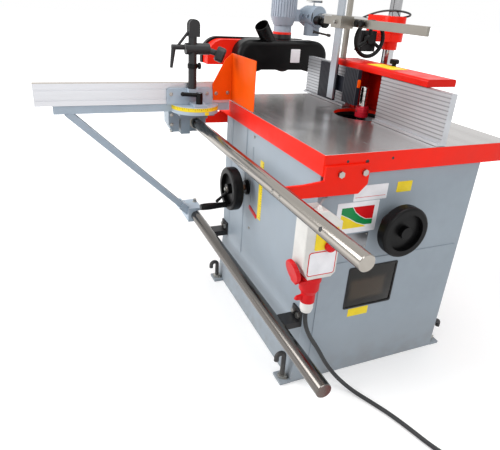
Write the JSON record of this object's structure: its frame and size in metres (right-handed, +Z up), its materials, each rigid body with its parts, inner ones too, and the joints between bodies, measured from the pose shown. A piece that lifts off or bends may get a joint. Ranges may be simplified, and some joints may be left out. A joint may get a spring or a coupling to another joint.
{
  "type": "spindle moulder with sliding carriage",
  "caption": "Floor-standing woodworking spindle moulder with a cast table, a sliding tenoning carriage on round bars, a fence with hood, pressure shoes and a swing-arm power feeder.",
  "frame": {"origin": "middle of the base plate's underside on the floor, under the middle of the cabinet", "axes": "+Z up; +X along the guide bars towards the switch box; the operator and the carriage are on the -Y side"},
  "size_m": [1.945, 1.505, 1.44],
  "materials": {
    "cabinet_paint": "satin grey-blue enamel",
    "red_paint": "gloss red enamel",
    "black_paint": "satin black enamel",
    "table_iron": "ground top, red painted sides",
    "carriage_iron": "painted grey-blue",
    "bright_steel": "ground bright",
    "plated_steel": "zinc plated",
    "dark_steel": "dull",
    "chrome_tube": "polished",
    "fence_aluminium": "natural extruded",
    "feeder_casting": "painted grey-blue",
    "feeder_red": "gloss red paint on a casting",
    "bronze": "turned",
    "belt_rubber": "matte",
    "roller_rubber": "matte",
    "cord_rubber": "matte sheath",
    "black_plastic": "fine grain",
    "orange_plastic": "glossy sheet",
    "cream_plastic": "moulded",
    "red_plastic": "moulded",
    "white_plastic": "moulded"
  },
  "bodies": {
    "machine": {"base_plate": "plated_steel", "cabinet": "cabinet_paint", "side_panel": "cabinet_paint", "anchor_hooks": "black_paint", "table": "table_iron", "bar_brackets": "red_paint", "upper_bar": "bright_steel", "lower_bar": "dark_steel", "lower_brackets": "black_paint", "frame_bolts": "bright_steel", "switch_box": "cream_plastic", "inlet_socket": "red_plastic", "mains_connector": "red_plastic", "cord_gland": "white_plastic", "mains_cord": "cord_rubber", "cord_coil": "cord_rubber", "cord_plug": "red_plastic", "shaft_flanges": "black_paint", "slideway": "carriage_iron", "fence_hood": "red_paint", "pressure_bars": "plated_steel", "feeder_column": "chrome_tube"},
    "spindle_unit": {"quill": "carriage_iron", "spindle_bearings": "bright_steel", "drive_motor": "feeder_casting", "drive_belt": "belt_rubber"},
    "spindle_rotor": {"spindle": "bright_steel", "spindle_collar": "red_paint"},
    "motor_rotor": {"motor_pulley": "dark_steel"},
    "lift_screw": {"lift_screw": "bright_steel"},
    "front_wheel": {"front_handwheel": "black_plastic", "front_shaft": "bright_steel"},
    "crank_handle": {"crank_handle": "black_plastic"},
    "side_wheel": {"side_handwheel": "black_plastic"},
    "stop_button": {"stop_button": "red_plastic"},
    "inlet_lid": {"inlet_lid": "red_plastic"},
    "left_plate": {"left_fence_plate": "fence_aluminium"},
    "right_plate": {"right_fence_plate": "fence_aluminium"},
    "pressure_unit": {"pressure_slide": "plated_steel"},
    "carriage": {"carriage": "carriage_iron", "carriage_bushes": "bronze", "outrigger_beam": "feeder_casting", "support_strut": "feeder_casting"},
    "mitre": {"fence_block": "carriage_iron", "mitre_fence": "fence_aluminium", "fence_guard": "orange_plastic", "clamp_pillar": "black_paint"},
    "quadrant_lever": {"quadrant_lever": "black_paint"},
    "clamp_lever": {"clamp_lever": "black_paint"},
    "pillar_clamp": {"pillar_clamp": "black_paint"},
    "feeder_sleeve": {"feeder_sleeve": "feeder_red"},
    "feeder_handwheel": {"feeder_handwheel": "black_plastic"},
    "feeder_arm": {"feeder_head": "feeder_red", "feeder_arm": "chrome_tube"},
    "feeder_unit": {"feeder_motor": "feeder_casting", "feeder_body": "feeder_red", "feeder_cover": "black_plastic"},
    "roller_1": {"feed_roller_1": "roller_rubber"},
    "roller_2": {"feed_roller_2": "roller_rubber"},
    "roller_3": {"feed_roller_3": "roller_rubber"}
  },
  "joints": [
    {"name": "front_wheel_turn", "type": "hinge", "parent": "machine", "child": "front_wheel", "pos_m": [-0.139, -0.389, 0.565], "axis": [0, 1, 0], "range_deg": [-2885, 1445]},
    {"name": "spindle_lift", "type": "slide", "parent": "machine", "child": "spindle_unit", "axis": [0, 0, 1], "range_m": [-0.08, 0.04]},
    {"name": "lift_screw_turn", "type": "hinge", "parent": "machine", "child": "lift_screw", "pos_m": [-0.139, 0.08, 0.6], "axis": [0, 0, 1], "range_deg": [-1445, 2885]},
    {"name": "spindle_spin", "type": "hinge", "parent": "spindle_unit", "child": "spindle_rotor", "pos_m": [-0.046, 0.117, 0.6], "axis": [0, 0, 1], "continuous": true},
    {"name": "motor_spin", "type": "hinge", "parent": "spindle_unit", "child": "motor_rotor", "pos_m": [0.164, 0.117, 0.4], "axis": [0, 0, 1], "continuous": true},
    {"name": "crank_spin", "type": "hinge", "parent": "front_wheel", "child": "crank_handle", "pos_m": [-0.139, -0.45, 0.497], "axis": [0, 1, 0], "continuous": true},
    {"name": "side_wheel_turn", "type": "hinge", "parent": "machine", "child": "side_wheel", "pos_m": [0.468, -0.031, 0.615], "axis": [1, 0, 0], "range_deg": [-1080, 1080]},
    {"name": "stop_press", "type": "slide", "parent": "machine", "child": "stop_button", "axis": [-1, 0, 0], "range_m": [0, 0.0035], "stiffness_N_per_m": 1500, "springref_m": -0.001},
    {"name": "lid_swing", "type": "hinge", "parent": "machine", "child": "inlet_lid", "pos_m": [0.43, -0.376, 0.47], "axis": [1, 0, 0], "range_deg": [0, 95]},
    {"name": "left_plate_slide", "type": "slide", "parent": "machine", "child": "left_plate", "axis": [1, 0, 0], "range_m": [-0.01, 0.03]},
    {"name": "right_plate_slide", "type": "slide", "parent": "machine", "child": "right_plate", "axis": [1, 0, 0], "range_m": [-0.04, 0.02]},
    {"name": "pressure_lift", "type": "slide", "parent": "machine", "child": "pressure_unit", "axis": [0, 0, 1], "range_m": [0, 0.1]},
    {"name": "carriage_slide", "type": "slide", "parent": "machine", "child": "carriage", "axis": [1, 0, 0], "range_m": [-0.01, 0.66]},
    {"name": "mitre_swivel", "type": "hinge", "parent": "carriage", "child": "mitre", "pos_m": [-0.332, -0.489, 0.88], "axis": [0, 0, 1], "range_deg": [-45, 45]},
    {"name": "quadrant_lock", "type": "hinge", "parent": "mitre", "child": "quadrant_lever", "pos_m": [-0.268, -0.489, 0.885], "axis": [0, 0, 1], "range_deg": [-5, 70]},
    {"name": "clamp_lever_swing", "type": "hinge", "parent": "mitre", "child": "clamp_lever", "pos_m": [-0.31, -0.502, 1.16], "axis": [1, 0, 0], "range_deg": [-100, 0]},
    {"name": "pillar_clamp_slide", "type": "slide", "parent": "mitre", "child": "pillar_clamp", "axis": [0, 0, 1], "range_m": [-0.07, 0.012]},
    {"name": "feeder_wheel_turn", "type": "hinge", "parent": "feeder_sleeve", "child": "feeder_handwheel", "pos_m": [-0.196, 0.21, 1.14], "axis": [1, 0, 0], "range_deg": [-5, 4325]},
    {"name": "feeder_lift", "type": "slide", "parent": "machine", "child": "feeder_sleeve", "axis": [0, 0, 1], "range_m": [0, 0.12]},
    {"name": "feeder_swing", "type": "hinge", "parent": "feeder_sleeve", "child": "feeder_arm", "pos_m": [-0.26, 0.365, 1.197], "axis": [0, 0, 1], "range_deg": [-60, 0]},
    {"name": "feeder_tilt", "type": "hinge", "parent": "feeder_arm", "child": "feeder_unit", "pos_m": [-0.76, 0.258, 1.197], "axis": [-0.9779, -0.2093, 0], "range_deg": [0, 30]},
    {"name": "roller_1_spin", "type": "hinge", "parent": "feeder_unit", "child": "roller_1", "pos_m": [-0.746, -0.06, 0.995], "axis": [1, 0, 0], "continuous": true},
    {"name": "roller_2_spin", "type": "hinge", "parent": "feeder_unit", "child": "roller_2", "pos_m": [-0.746, 0.09, 0.995], "axis": [1, 0, 0], "continuous": true},
    {"name": "roller_3_spin", "type": "hinge", "parent": "feeder_unit", "child": "roller_3", "pos_m": [-0.746, 0.24, 0.995], "axis": [1, 0, 0], "continuous": true}
  ],
  "couplings": [
    {"joint": "front_wheel_turn", "follows": "spindle_lift", "rad_per_m": 628.32},
    {"joint": "lift_screw_turn", "follows": "spindle_lift", "rad_per_m": -628.32},
    {"joint": "motor_spin", "follows": "spindle_spin", "ratio": 0.72727},
    {"joint": "feeder_wheel_turn", "follows": "feeder_lift", "rad_per_m": 628.32},
    {"joint": "roller_2_spin", "follows": "roller_1_spin", "ratio": 1},
    {"joint": "roller_3_spin", "follows": "roller_1_spin", "ratio": 1}
  ]
}
